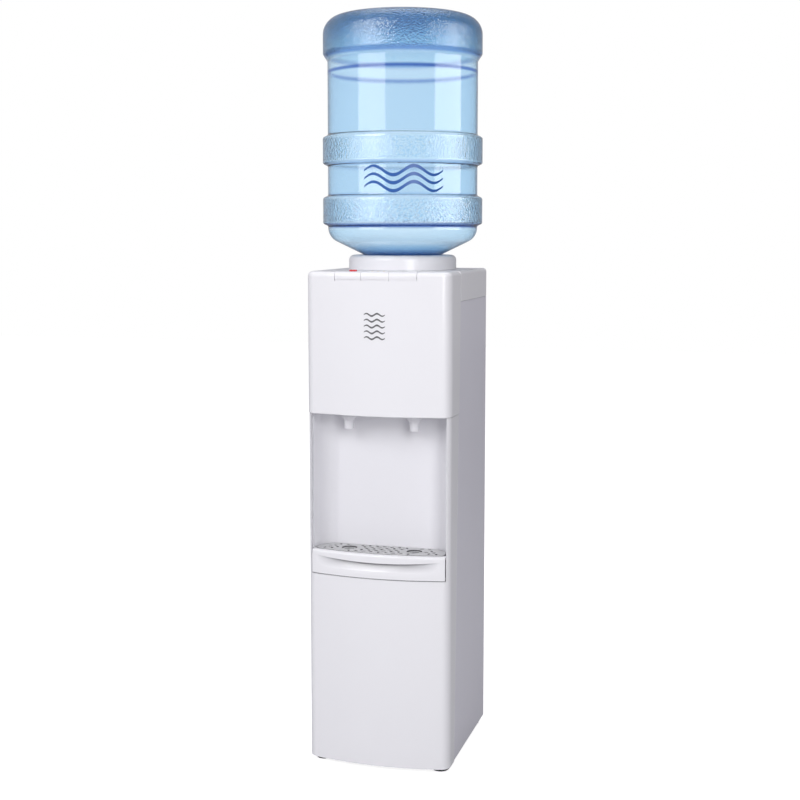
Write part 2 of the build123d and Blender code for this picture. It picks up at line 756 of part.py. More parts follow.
with BuildPart() as tray_lip:
    bowed_block(SCOOP_LOW + 15, TRAY_TOP_Z, TRAY_INSET, -100)
    lip_rim = tray_lip.edges().group_by(Axis.Z)[-1].sort_by(Axis.Y)
    fillet(lip_rim[:-1], 4.0)
    with BuildSketch(Plane.XZ.offset(100)):
        with BuildLine():
            ThreePointArc((-SCOOP_HALF, LIP_END_Z), (0, LIP_LOW_Z), (SCOOP_HALF, LIP_END_Z))
            Polyline(
                (SCOOP_HALF, LIP_END_Z), (SCOOP_HALF, 300), (-SCOOP_HALF, 300), (-SCOOP_HALF, LIP_END_Z)
            )
        make_face()
    extrude(amount=FAR, mode=Mode.SUBTRACT)
    block((-TRAY_HALF, -FAR, 0), (TRAY_HALF, TRAY_FRONT_BACK_Y, BODY_TOP), Mode.INTERSECT)

STEPS = 5
scoop_rise = SCOOP_HIGH - SCOOP_LOW
with BuildPart() as drip_tray:
    extrude(scooped_face(TRAY_SEAM_Z + SEAM, 0), amount=SCOOP_LOW - TRAY_SEAM_Z - SEAM)
    for step in range(STEPS):
        low_share, high_share = step / STEPS, (step + 1) / STEPS
        low_face = scooped_face(SCOOP_LOW + scoop_rise * low_share, scoop_depth(low_share))
        high_face = scooped_face(SCOOP_LOW + scoop_rise * high_share, scoop_depth(high_share))
        loft([low_face, high_face], ruled=True)
    extrude(scooped_face(SCOOP_HIGH, SCOOP_DEPTH), amount=4)
    add(tray_lip.part)
    extrude(liner_face(TUB_FLOOR, -1.4), amount=RAIL_Z - TUB_FLOOR)
    block((-GRILLE_HALF, TRAY_FRONT_BACK_Y - 3, TUB_FLOOR), (GRILLE_HALF, LINER_FRONT_Y + 3, RAIL_Z))
    extrude(grille_face(TUB_FLOOR + 2, 3), amount=TRAY_TOP_Z - TUB_FLOOR, mode=Mode.SUBTRACT)
    extrude(grille_face(RAIL_Z, -0.4), amount=TRAY_TOP_Z - RAIL_Z + 1, mode=Mode.SUBTRACT)
save(drip_tray, "drip_tray")

GRILLE_THICK = 2.0
CUP_R = 14.5
SLOT_STEP_X, SLOT_STEP_Y = 13.0, 10.0


def slot_spots():
    """Places and angles of the drain slots, in staggered rows that leave the cup rings free."""
    spots = []
    for row in range(5):
        y = ALCOVE_BACK_Y - 8 - SLOT_STEP_Y * row
        for column in range(-8, 9):
            x = SLOT_STEP_X * (column + 0.5 * (row % 2))
            far_from_cups = all(
                (x - side * OUTLET_X) ** 2 + (y - OUTLET_Y) ** 2 > (CUP_R + 5.5) ** 2 for side in (-1, 1)
            )
            behind_lip = y - 6 > bow_y(x, TRAY_INSET + LIP_WIDTH)
            on_plate = behind_lip and abs(x) < GRILLE_HALF - 10 - 3 * (row < 2)
            corner = row < 2 and abs(x) > GRILLE_HALF - 26 + 8 * row
            if far_from_cups and on_plate and not corner:
                spots.append((x, y, (40 * column + 70 * row) % 180))
    return spots


with BuildPart() as grille:
    extrude(grille_face(RAIL_Z + 0.1, 0), amount=GRILLE_TOP_Z - RAIL_Z - 0.1)
    extrude(grille_face(RAIL_Z, 2), amount=GRILLE_TOP_Z - GRILLE_THICK - RAIL_Z, mode=Mode.SUBTRACT)
    for side in (-1, 1):
        rod(side * OUTLET_X, OUTLET_Y, CUP_R, GRILLE_TOP_Z - 4, GRILLE_TOP_Z - 1)
        rod(side * OUTLET_X, OUTLET_Y, CUP_R - 1.2, GRILLE_TOP_Z - 3, GRILLE_TOP_Z + 1, Mode.SUBTRACT)
    with BuildSketch(Plane.XY.offset(RAIL_Z)):
        for slot_x, slot_y, slot_angle in slot_spots():
            with Locations(Location((slot_x, slot_y), slot_angle)):
                SlotOverall(8.0, 4.6)
        for side in (-1, 1):
            for bar in (-7.0, 0.0, 7.0):
                with Locations((side * OUTLET_X, OUTLET_Y + bar)):
                    SlotOverall(20.0 - abs(bar), 4.4)
    extrude(amount=GRILLE_TOP_Z, mode=Mode.SUBTRACT)
save(grille, "grille")

# ---- cold tank, its coil and insulation ----
LID = 4.0
with BuildPart() as cold_tank:
    rod(0, BOTTLE_Y, TANK_R, TANK_LOW, TANK_HIGH)
    level_rod(OUTLET_X, INLET_Z, STUB_R, -72, BOTTLE_Y)
    rod(0, BOTTLE_Y, TANK_R - 1, TANK_LOW + 1, TANK_HIGH + 1, Mode.SUBTRACT)
    level_rod(OUTLET_X, INLET_Z, 3.0, -73, 0, Mode.SUBTRACT)
    rod(0, BOTTLE_Y, 4.0, TANK_LOW - 1, TANK_LOW + 2, Mode.SUBTRACT)
save(cold_tank, "cold_tank")

with BuildPart() as cold_tank_lid:
    tube(0, BOTTLE_Y, TANK_R + 2, SOCKET_R + 4, TANK_HIGH, TANK_HIGH + LID)
save(cold_tank_lid, "cold_tank_lid")

with BuildPart() as baffle:
    rod(0, BOTTLE_Y, TANK_R - 1.5, 700, 702)
    rod(0, BOTTLE_Y, 6.0, TANK_LOW + 1, 702)
    rod(0, BOTTLE_Y, 4.0, TANK_LOW, 703, Mode.SUBTRACT)
    with BuildSketch(Plane.XY.offset(699)):
        with Locations((0, BOTTLE_Y)):
            with PolarLocations(50, 8):
                Circle(6)
    extrude(amount=4, mode=Mode.SUBTRACT)
save(baffle, "baffle")

COIL_LOW, COIL_STEP, COIL_TURNS = 655.0, 14.0, 7
COIL_HIGH = COIL_LOW + COIL_STEP * (COIL_TURNS - 1)
with BuildPart() as evaporator_coil:
    for turn_number in range(COIL_TURNS):
        with Locations((0, BOTTLE_Y, COIL_LOW + COIL_STEP * turn_number)):
            Torus(COIL_R, TUBE_R)
    rod(COIL_R, BOTTLE_Y, TUBE_R, COIL_LOW - 8, COIL_HIGH + 6)
save(evaporator_coil, "evaporator_coil")

FOAM_LOW, FOAM_HIGH, FOAM_FLOOR = 612.0, 770.0, 626.0
FOAM_IN = 77.0


def insulation(side):
    """One half of the foam round the cold tank; side is -1 in front of the tank and 1 behind."""
    near, far = sorted((BOTTLE_Y + side * 0.15, BOTTLE_Y + side * FAR))
    with BuildPart() as foam:
        rod(0, BOTTLE_Y, FOAM_R, FOAM_LOW, FOAM_HIGH)
        rod(0, BOTTLE_Y, FOAM_IN, FOAM_FLOOR, FOAM_HIGH + 1, Mode.SUBTRACT)
        rod(0, BOTTLE_Y, 9.0, FOAM_LOW - 1, FOAM_FLOOR + 1, Mode.SUBTRACT)
        rod(COIL_R, BOTTLE_Y, TUBE_R + 0.6, FOAM_LOW - 1, FOAM_FLOOR + 1, Mode.SUBTRACT)
        level_rod(OUTLET_X, INLET_Z, 7.0, -100, -10, Mode.SUBTRACT)
        block((-FAR, near, 0), (FAR, far, BODY_TOP), Mode.INTERSECT)
    return foam


save(insulation(-1), "insulation_front")
save(insulation(1), "insulation_rear")

# ---- hot tank ----
JACKET_R, JACKET_IN = 60.0, 51.0
with BuildPart() as hot_tank:
    rod(0, HOT_Y, HOT_R, HOT_LOW, HOT_HIGH)
    fillet(hot_tank.edges().filter_by(GeomType.CIRCLE), 6.0)
    rod(-25, HOT_Y + 10, 3.0, HOT_HIGH - 2, HOT_HIGH + 16)
    rod(20, HOT_Y, 3.0, HOT_LOW - 16, HOT_LOW + 2)
    rod(0, HOT_Y, HOT_R - 1.2, HOT_LOW + 6, HOT_HIGH - 6, Mode.SUBTRACT)
    rod(-25, HOT_Y + 10, 2.0, HOT_HIGH - 10, HOT_HIGH + 17, Mode.SUBTRACT)
    rod(20, HOT_Y, 2.0, HOT_LOW - 17, HOT_LOW + 10, Mode.SUBTRACT)
    rod(0, BOTTLE_Y, 4.0, HOT_HIGH - 10, HOT_HIGH + 1, Mode.SUBTRACT)
save(hot_tank, "hot_tank")

with BuildPart() as transfer_tube:
    tube(0, BOTTLE_Y, 6.0, 4.0, HOT_HIGH, TANK_LOW)
save(transfer_tube, "transfer_tube")

with BuildPart() as hot_jacket:
    tube(0, HOT_Y, JACKET_R, JACKET_IN, HOT_LOW + 5, HOT_HIGH - 5)
save(hot_jacket, "hot_jacket")

with BuildPart() as band_heater:
    tube(0, HOT_Y, HOT_R + 2.8, HOT_R + 0.2, HOT_LOW + 15, HOT_LOW + 55)
save(band_heater, "band_heater")

with BuildPart() as thermostats:
    for thermostat_z in (HOT_LOW + 80, HOT_LOW + 110):
        level_rod(0, thermostat_z, 8.0, HOT_Y - HOT_R - 5, HOT_Y - HOT_R - 0.2)
save(thermostats, "thermostats")

# ---- hoses ----
HOSE_R, HOSE_BORE = 6.5, STUB_R + 0.05
with BuildPart() as cold_hose:
    with BuildSketch(Plane(origin=(OUTLET_X, -94, INLET_Z), x_dir=(1, 0, 0), z_dir=(0, 1, 0))):
        Circle(HOSE_R)
        Circle(HOSE_BORE, mode=Mode.SUBTRACT)
    extrude(amount=30)
save(cold_hose, "cold_hose")

hot_route = [
    (-25, HOT_Y + 10, HOT_HIGH + 3),
    (-25, HOT_Y + 10, HOT_HIGH + 38),
    (-57, -38, 590),
    (-57, -66, 600),
    (-57, -66, INLET_Z - 0.01),
    (-57, -94, INLET_Z),
]
with BuildPart() as hot_hose:
    bent_pipe(hot_route, [14, 20, 12, 11], HOSE_R - 1, 3.1)
    level_rod(-OUTLET_X, INLET_Z, HOSE_R, -94, -80)
    level_rod(-OUTLET_X, INLET_Z, HOSE_BORE, -95, -75, Mode.SUBTRACT)
save(hot_hose, "hot_hose")

drain_route = [
    (20, HOT_Y, HOT_LOW - 4),
    (20, HOT_Y, 300),
    (DRAIN_X, 50, DRAIN_Z),
    (DRAIN_X, REAR_Y - 6, DRAIN_Z),
]
with BuildPart() as drain_hose:
    bent_pipe(drain_route, [20, 20], HOSE_R - 1, 3.1)
save(drain_hose, "drain_hose")

# ---- drain outlet and its cap ----
with BuildPart() as drain_outlet:
    level_rod(DRAIN_X, DRAIN_Z, 12.0, REAR_Y + SHEET, REAR_Y + SHEET + 2)
    level_rod(DRAIN_X, DRAIN_Z, 8.0, REAR_Y - 6, REAR_Y + 14)
    level_rod(DRAIN_X, DRAIN_Z, 4.0, REAR_Y - 7, REAR_Y + 15, Mode.SUBTRACT)
save(drain_outlet, "drain_outlet")

with BuildPart() as drain_cap:
    level_rod(DRAIN_X, DRAIN_Z, 11.0, REAR_Y + SHEET + 3, REAR_Y + 17)
    level_rod(DRAIN_X, DRAIN_Z, 8.05, REAR_Y, REAR_Y + 14.3, Mode.SUBTRACT)
    with BuildSketch(Plane(origin=(DRAIN_X, REAR_Y, DRAIN_Z), x_dir=(1, 0, 0), z_dir=(0, 1, 0))):
        with PolarLocations(11.6, 16):
            Circle(1.1)
    extrude(amount=20, mode=Mode.SUBTRACT)
save(drain_cap, "drain_cap")

# ---- compressor and its circuit ----
CAN_LOW, CAN_HIGH = PLATE_Z + 3, 178.0
with BuildPart() as compressor:
    block((-GROMMET_X - 12, COMPRESSOR_Y - 56, PLATE_Z), (GROMMET_X + 12, COMPRESSOR_Y + 56, PLATE_Z + 3))
    fillet(compressor.edges().filter_by(Axis.Z), 10)
    for spot_x, spot_y in grommet_spots:
        rod(spot_x, spot_y, 5.0, PLATE_Z - 1, PLATE_Z + 4, Mode.SUBTRACT)
    with BuildSketch(upright_plane(0, COMPRESSOR_Y)):
        with BuildLine():
            FilletPolyline(
                (0, CAN_LOW),
                (COMPRESSOR_R - 8, CAN_LOW),
                (COMPRESSOR_R, 60),
                (COMPRESSOR_R, CAN_HIGH),
                (0, CAN_HIGH),
                radius=[10, 20, 32],
            )
            Line((0, CAN_HIGH), (0, CAN_LOW))
        make_face()
    revolve(axis=Axis((0, COMPRESSOR_Y, 0), (0, 0, 1)))
    rod(0, COMPRESSOR_Y, COMPRESSOR_R + 2, 104, 107)
save(compressor, "compressor")

with BuildPart() as grommets:
    for spot_x, spot_y in grommet_spots:
        turned(
            spot_x,
            spot_y,
            [
                (0, PAN_Z + SHEET),
                (9, PAN_Z + SHEET),
                (9, PLATE_Z - 0.1),
                (4.8, PLATE_Z - 0.1),
                (4.8, PLATE_Z + 3.1),
                (7.5, PLATE_Z + 3.1),
                (7.5, PLATE_Z + 6),
                (0, PLATE_Z + 6),
            ],
        )
save(grommets, "grommets")

with BuildPart() as relay_box:
    block((-92, COMPRESSOR_Y - 22, 60), (-COMPRESSOR_R - 3, COMPRESSOR_Y + 22, 150))
    fillet(relay_box.edges().filter_by(Axis.Z), 5)
save(relay_box, "relay_box")

SUCTION_X = COIL_R
suction_route = [
    (SUCTION_X, BOTTLE_Y, COIL_LOW - 8),
    (SUCTION_X, BOTTLE_Y, 150),
    (COMPRESSOR_R - 6, COMPRESSOR_Y - 18, 150),
]
with BuildPart() as suction_line:
    bent_pipe(suction_route, [8], TUBE_R)
    rod(0, COMPRESSOR_Y, COMPRESSOR_R + 0.1, 60, 180, Mode.SUBTRACT)
save(suction_line, "suction_line")

CONDENSER_HALF = 92.0
PASSES, PASS_STEP, PASS_LOW = 11, 36.0, 290.0
WIRE_STEP = 12.0
pass_zs = [PASS_LOW + PASS_STEP * number for number in range(PASSES)]
discharge_route = [
    (30, COMPRESSOR_Y, CAN_HIGH + 0.1),
    (30, COMPRESSOR_Y, 212),
    (102, 62, 212),
    (102, CONDENSER_Y, 212),
    (102, CONDENSER_Y, PASS_LOW),
    (CONDENSER_HALF, CONDENSER_Y, PASS_LOW),
]
with BuildPart() as discharge_line:
    bent_pipe(discharge_route, [12, 12, 12, 6], TUBE_R)
save(discharge_line, "discharge_line")

with BuildPart() as condenser:
    for number, pass_z in enumerate(pass_zs):
        with BuildSketch(Plane.YZ.offset(-CONDENSER_HALF)):
            with Locations((CONDENSER_Y, pass_z)):
                Circle(TUBE_R)
        extrude(amount=2 * CONDENSER_HALF)
        if number + 1 < PASSES:
            end = -1 if number % 2 == 0 else 1
            with BuildSketch(Plane.YZ.offset(end * CONDENSER_HALF)):
                with Locations((CONDENSER_Y, pass_z)):
                    Circle(TUBE_R)
            bend = Axis((end * CONDENSER_HALF, CONDENSER_Y, pass_z + PASS_STEP / 2), (0, 1, 0))
            revolve(axis=bend, revolution_arc=-end * 180)
save(condenser, "condenser")

with BuildPart() as condenser_wires:
    wire_y = CONDENSER_Y + TUBE_R + 0.8
    for number in range(15):
        wire_x = WIRE_STEP * (number - 7)
        rod(wire_x, wire_y, 0.8, PASS_LOW - 8, pass_zs[-1] + 8)
save(condenser_wires, "condenser_wires")

with BuildPart() as drier:
    turned(
        96,
        78,
        [(0, 95), (3, 95), (3, 106), (9, 114), (9, 176), (3, 186), (3, 196), (0, 196)],
    )
save(drier, "drier")

# ---- controls at the rear ----
PLATE_IN_Y = REAR_Y + SHEET
ROCKER_W, ROCKER_H = 19.0, 25.0
PIVOT_Y = PLATE_IN_Y + 1.5
with BuildPart() as switch_plate:
    block((-106, PLATE_IN_Y, SWITCH_Z - 20), (-42, PLATE_IN_Y + 3, SWITCH_Z + 20))
    fillet(switch_plate.edges().filter_by(Axis.Y), 4)
    for switch_x in SWITCH_XS:
        block(
            (switch_x - ROCKER_W / 2 - 2.5, REAR_Y - 16, SWITCH_Z - ROCKER_H / 2 - 1.5),
            (switch_x + ROCKER_W / 2 + 2.5, PLATE_IN_Y, SWITCH_Z + ROCKER_H / 2 + 1.5),
        )
        block(
            (switch_x - ROCKER_W / 2 - 0.3, REAR_Y - 14, SWITCH_Z - ROCKER_H / 2 - 0.3),
            (switch_x + ROCKER_W / 2 + 0.3, PLATE_IN_Y + 4, SWITCH_Z + ROCKER_H / 2 + 0.3),
            Mode.SUBTRACT,
        )
save(switch_plate, "switch_plate")



def rocker(switch_x):
    """A rocker whose two flats meet over its pivot, with its lower end pressed in."""
    with BuildPart() as piece:
        with BuildSketch(Plane.YZ.offset(switch_x - ROCKER_W / 2)):
            with Locations((PIVOT_Y, SWITCH_Z)):
                Polygon(
                    (-8, -6),
                    (-1.0, -ROCKER_H / 2 + 1),
                    (1.0, -ROCKER_H / 2 + 0.6),
                    (2.8, 0),
                    (4.6, ROCKER_H / 2 - 1.6),
                    (-2.0, ROCKER_H / 2 - 1.2),
                    (-8, 6),
                    align=None,
                )
        extrude(amount=ROCKER_W)
    return piece


save(rocker(SWITCH_XS[0]), "hot_switch")
save(rocker(SWITCH_XS[1]), "cold_switch")

with BuildPart() as cord_gland:
    level_rod(GLAND_X, GLAND_Z, 11.0, REAR_Y + SHEET, REAR_Y + SHEET + 3)
    level_rod(GLAND_X, GLAND_Z, 7.9, REAR_Y - 8, REAR_Y + SHEET + 3)
    chamfer(cord_gland.faces().sort_by(Axis.Y)[-1].edges(), 1.0)
    level_rod(GLAND_X, GLAND_Z, GLAND_BORE, REAR_Y - 9, REAR_Y + 8, Mode.SUBTRACT)
save(cord_gland, "cord_gland")

with BuildPart() as control_box:
    block((-112, 36, 268), (-70, 96, 372))
    fillet(control_box.edges().filter_by(Axis.Z), 4)
    block((-110, 38, 270), (-72, 94, 373), Mode.SUBTRACT)
save(control_box, "control_box")

with BuildPart() as control_board:
    block((-109, 60, 278), (-73, 61.6, 365))
    for part_z in (290, 310, 330, 350):
        block((-104, 61.6, part_z), (-92, 68, part_z + 12))
save(control_board, "control_board")
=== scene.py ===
import json
import math
import bpy
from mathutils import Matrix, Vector


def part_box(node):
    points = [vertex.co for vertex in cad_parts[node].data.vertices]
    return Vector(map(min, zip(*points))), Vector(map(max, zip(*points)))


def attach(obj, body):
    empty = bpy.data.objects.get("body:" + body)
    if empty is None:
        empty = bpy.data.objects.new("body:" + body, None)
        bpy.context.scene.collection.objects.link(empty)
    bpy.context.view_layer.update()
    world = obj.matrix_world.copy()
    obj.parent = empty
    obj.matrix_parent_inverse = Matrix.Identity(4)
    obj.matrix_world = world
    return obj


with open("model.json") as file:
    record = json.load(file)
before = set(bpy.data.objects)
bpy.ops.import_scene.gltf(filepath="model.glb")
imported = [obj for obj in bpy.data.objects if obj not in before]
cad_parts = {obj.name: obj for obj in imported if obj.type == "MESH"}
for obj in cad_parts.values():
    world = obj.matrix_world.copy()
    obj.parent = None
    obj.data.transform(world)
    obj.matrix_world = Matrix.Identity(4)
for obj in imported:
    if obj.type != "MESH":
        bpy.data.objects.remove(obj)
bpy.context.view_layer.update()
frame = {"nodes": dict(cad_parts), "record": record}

BOTTLE_Y = 0.016
BOTTLE_WALL_R = 0.1288
BOW_R = 0.440  # radius of the bowed front, in plan
FRONT_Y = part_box("upper_front_panel")[0].y
NUDGE = 0.00015  # how far a print stands off the surface under it


# ---- finishes ----
def start_finish(name, colour, roughness):
    """A new material, its shader and a node that gives places on the object."""
    finish = bpy.data.materials.new(name)
    finish.use_nodes = True
    finish.diffuse_color = (*colour, 1.0)
    tree = finish.node_tree
    shader = tree.nodes["Principled BSDF"]
    shader.inputs["Base Color"].default_value = (*colour, 1.0)
    shader.inputs["Roughness"].default_value = roughness
    place = tree.nodes.new("ShaderNodeTexCoord")
    return finish, tree, shader, place.outputs["Object"]


def noise(tree, place, scale, detail=3.0, stretch=None):
    """Soft random clouds, as many per metre as scale says."""
    if stretch:
        mapping = tree.nodes.new("ShaderNodeMapping")
        mapping.inputs["Scale"].default_value = stretch
        tree.links.new(place, mapping.inputs["Vector"])
        place = mapping.outputs["Vector"]
    clouds = tree.nodes.new("ShaderNodeTexNoise")
    clouds.inputs["Scale"].default_value = scale
    clouds.inputs["Detail"].default_value = detail
    tree.links.new(place, clouds.inputs["Vector"])
    return clouds.outputs["Fac"]


def spread(tree, value, low, high, from_low=0.2, from_high=0.8):
    """Maps a pattern onto a range of values."""
    ramp = tree.nodes.new("ShaderNodeMapRange")
    ramp.inputs["From Min"].default_value = from_low
    ramp.inputs["From Max"].default_value = from_high
    ramp.inputs["To Min"].default_value = low
    ramp.inputs["To Max"].default_value = high
    tree.links.new(value, ramp.inputs["Value"])
    return ramp.outputs["Result"]


def mixed(tree, amount, under, over, blend="MIX"):
    """A plain colour laid over a colour or a pattern, by the amount that another pattern gives."""
    mix = tree.nodes.new("ShaderNodeMix")
    mix.data_type = "RGBA"
    mix.blend_type = blend
    mix.inputs["B"].default_value = (*over, 1.0)
    if isinstance(under, tuple):
        mix.inputs["A"].default_value = (*under, 1.0)
    else:
        tree.links.new(under, mix.inputs["A"])
    tree.links.new(amount, mix.inputs["Factor"])
    return mix.outputs["Result"]


def tint(tree, shader, value, colour, shade):
    """Lets the colour drift between itself and a shade of itself."""
    drifted = mixed(tree, value, colour, [c * shade for c in colour])
    tree.links.new(drifted, shader.inputs["Base Color"])


def times(tree, first, second, operation="MULTIPLY"):
    """Two patterns, or a pattern and a number, put together by one sum."""
    node = tree.nodes.new("ShaderNodeMath")
    node.operation = operation
    for socket, value in zip(node.inputs, (first, second)):
        if isinstance(value, float):
            socket.default_value = value
        else:
            tree.links.new(value, socket)
    return node.outputs[0]


def within(tree, value, low, high):
    """1 where the value is between low and high, and 0 elsewhere."""
    node = tree.nodes.new("ShaderNodeMath")
    node.operation = "COMPARE"
    tree.links.new(value, node.inputs[0])
    node.inputs[1].default_value = (low + high) / 2
    node.inputs[2].default_value = (high - low) / 2
    return node.outputs[0]


def paint_shade(finish, where, shade):
    """Paints shade: multiplies a finish's colour by a darker shade where a pattern is 1."""
    tree = finish.node_tree
    target = tree.nodes["Principled BSDF"].inputs["Base Color"]
    shaded = mixed(tree, where, target.links[0].from_socket, shade, "MULTIPLY")
    tree.links.new(shaded, target)


def axes(finish):
    """The node tree of a finish, and the x, y and z of places on the object."""
    tree = finish.node_tree
    split = tree.nodes.new("ShaderNodeSeparateXYZ")
    tree.links.new(tree.nodes["Texture Coordinate"].outputs["Object"], split.inputs["Vector"])
    return tree, split.outputs["X"], split.outputs["Y"], split.outputs["Z"]


def relief(tree, shader, value, height, strength=1.0, below=None):
    """Bump of a given height in metres."""
    bump = tree.nodes.new("ShaderNodeBump")
    bump.inputs["Distance"].default_value = height
    bump.inputs["Strength"].default_value = strength
    tree.links.new(value, bump.inputs["Height"])
    if below is not None:
        tree.links.new(below, bump.inputs["Normal"])
    tree.links.new(bump.outputs["Normal"], shader.inputs["Normal"])
    return bump.outputs["Normal"]


def plastic(name, colour, roughness, grain=700.0, height=0.000006, coat=0.0, drift=0.996):
    """Moulded plastic: a fine moulded grain, with slow drifts in gloss and colour."""
    finish, tree, shader, place = start_finish(name, colour, roughness)
    slow = noise(tree, place, 9.0, 2.0)
    tint(tree, shader, spread(tree, slow, 0.0, 1.0), colour, drift)
    gloss = noise(tree, place, 38.0, 4.0)
    tree.links.new(spread(tree, gloss, roughness * 0.96, roughness * 1.04), shader.inputs["Roughness"])
    shader.inputs["IOR"].default_value = 1.49
    shader.inputs["Coat Weight"].default_value = coat
    shader.inputs["Coat Roughness"].default_value = 0.12
    relief(tree, shader, noise(tree, place, grain, 2.0), height)
    return finish


def paint(name, colour, roughness, peel=420.0, height=0.000015):
    """Powder coat or enamel on sheet metal, with its orange peel."""
    finish, tree, shader, place = start_finish(name, colour, roughness)
    tint(tree, shader, spread(tree, noise(tree, place, 5.0, 2.0), 0.0, 1.0), colour, 0.985)
    gloss = noise(tree, place, 60.0, 3.0)
    tree.links.new(spread(tree, gloss, roughness * 0.95, roughness * 1.05), shader.inputs["Roughness"])
    shader.inputs["Coat Weight"].default_value = 0.15
    shader.inputs["Coat Roughness"].default_value = 0.2
    relief(tree, shader, noise(tree, place, peel, 1.0), height)
    return finish


def metal(name, colour, roughness, stretch=(1.0, 1.0, 30.0), scale=120.0):
    """Bare metal with drawn or rolled lines."""
    finish, tree, shader, place = start_finish(name, colour, roughness)
    shader.inputs["Metallic"].default_value = 1.0
    lines = noise(tree, place, scale, 4.0, stretch)
    tint(tree, shader, spread(tree, lines, 0.0, 1.0), colour, 0.86)
    tree.links.new(spread(tree, lines, roughness * 0.75, roughness * 1.3), shader.inputs["Roughness"])
    relief(tree, shader, lines, 0.00002)
    return finish


def rubber(name, colour, roughness):
    """Matt rubber with a fine grain and a little dust."""
    finish, tree, shader, place = start_finish(name, colour, roughness)
    dust = noise(tree, place, 180.0, 4.0)
    tint(tree, shader, spread(tree, dust, 0.0, 1.0), colour, 1.5)
    tree.links.new(spread(tree, dust, roughness * 0.9, min(1.0, roughness * 1.1)), shader.inputs["Roughness"])
    relief(tree, shader, noise(tree, place, 1400.0, 2.0), 0.00004)
    return finish


def foam(name, colour):
    """Expanded foam: small closed cells with a skin."""
    finish, tree, shader, place = start_finish(name, colour, 0.85)
    cells = tree.nodes.new("ShaderNodeTexVoronoi")
    cells.inputs["Scale"].default_value = 320.0
    tree.links.new(place, cells.inputs["Vector"])
    tint(tree, shader, spread(tree, cells.outputs["Distance"], 0.0, 1.0, 0.2, 0.8), colour, 0.88)
    relief(tree, shader, cells.outputs["Distance"], -0.0004, 0.6)
    return finish


def hose(name, colour):
    """Milky silicone that lets some light through."""
    finish, tree, shader, place = start_finish(name, colour, 0.35)
    shader.inputs["Subsurface Weight"].default_value = 0.3
    shader.inputs["Subsurface Radius"].default_value = (0.004, 0.004, 0.004)
    shader.inputs["Subsurface Scale"].default_value = 1.0
    clouds = noise(tree, place, 90.0, 3.0)
    tint(tree, shader, spread(tree, clouds, 0.0, 1.0), colour, 0.93)
    relief(tree, shader, clouds, 0.00005)
    return finish


# Heights on the inverted bottle, in metres, and the tint of the plastic at each. Apart from the wall's own
# blue, these tints are painted light and shade: the clear, lighter bands are painted light, and the darker
# blues at the neck end, the groove, the edges of the rings and base band and the thin line below it are
# painted shade.
PEBBLED_BANDS = ((0.919, 0.958), (1.0215, 1.0605), (1.199, 1.3))  # lower ring, upper ring, base band
PEBBLE_FADE = 0.003
PEBBLES_PER_METRE = 330.0
PEBBLE_RELIEF = 0.0006
TINTS_FROM, TINTS_TO = 0.85, 1.27
WALL_BLUE = (0.86, 0.92, 0.965)
CLEAR = (1.0, 1.0, 1.0)
# Painted shade colours for the groove and for the thin line below the base band.
GROOVE_SHADE_BLUE = (0.08, 0.16, 0.46)
LINE_SHADE_BLUE = (0.16, 0.27, 0.60)
HOLLOW_SHADE_BLUE = (0.14, 0.16, 0.50)  # painted shade: the thick plastic in the middle of the base and in the neck is painted a darker blue
BOTTLE_TINTS = (
    (0.862, (0.10, 0.28, 0.55)),
    (0.872, (0.60, 0.78, 0.92)),
    (0.885, CLEAR),
    (0.9085, CLEAR),
    (0.9115, GROOVE_SHADE_BLUE),
    (0.9150, GROOVE_SHADE_BLUE),
    (0.9190, CLEAR),
    (0.9590, CLEAR),
    (0.9640, (0.62, 0.74, 0.90)),
    (0.9690, WALL_BLUE),
    (1.0120, WALL_BLUE),
    (1.0170, (0.50, 0.64, 0.86)),
    (1.0220, CLEAR),
    (1.0600, CLEAR),
    (1.0660, WALL_BLUE),
    (1.1690, WALL_BLUE),
    (1.1718, LINE_SHADE_BLUE),
    (1.1742, LINE_SHADE_BLUE),
    (1.1770, CLEAR),
    (1.1950, CLEAR),
    (1.1985, (0.34, 0.48, 0.78)),
    (1.2080, (0.78, 0.88, 0.93)),
    (1.2500, (0.52, 0.65, 0.80)),
)


def on_axis(tree, place, stretch=(1.0, 1.0, 1.0)):
    """Places measured from the bottle's axis."""
    mapping = tree.nodes.new("ShaderNodeMapping")
    mapping.inputs["Location"].default_value = (0.0, -BOTTLE_Y, 0.0)
    mapping.inputs["Scale"].default_value = stretch
    tree.links.new(place, mapping.inputs["Vector"])
    return mapping.outputs["Vector"]


def banded_tints(tree, height):
    """The bottle's colour, set by height and blended from each tint to the next: its own blue with painted
    bands of light and shade.
    """
    bands = tree.nodes.new("ShaderNodeValToRGB")
    stops = bands.color_ramp.elements
    for level, shade in BOTTLE_TINTS:
        stop = stops.new((level - TINTS_FROM) / (TINTS_TO - TINTS_FROM))
        stop.color = (*shade, 1.0)
    stops.remove(stops[-1])
    stops.remove(stops[0])
    tree.links.new(spread(tree, height, 0.0, 1.0, TINTS_FROM, TINTS_TO), bands.inputs["Fac"])
    return bands.outputs["Color"]


def pebbled_area(tree, height):
    """1 on the base band and the rings, and 0 on the smooth wall."""
    area = None
    for low, high in PEBBLED_BANDS:
        above = spread(tree, height, 0.0, 1.0, low, low + PEBBLE_FADE)
        under = spread(tree, height, 1.0, 0.0, high - PEBBLE_FADE, high)
        band = times(tree, above, under)
        area = band if area is None else times(tree, area, band, "ADD")
    return area


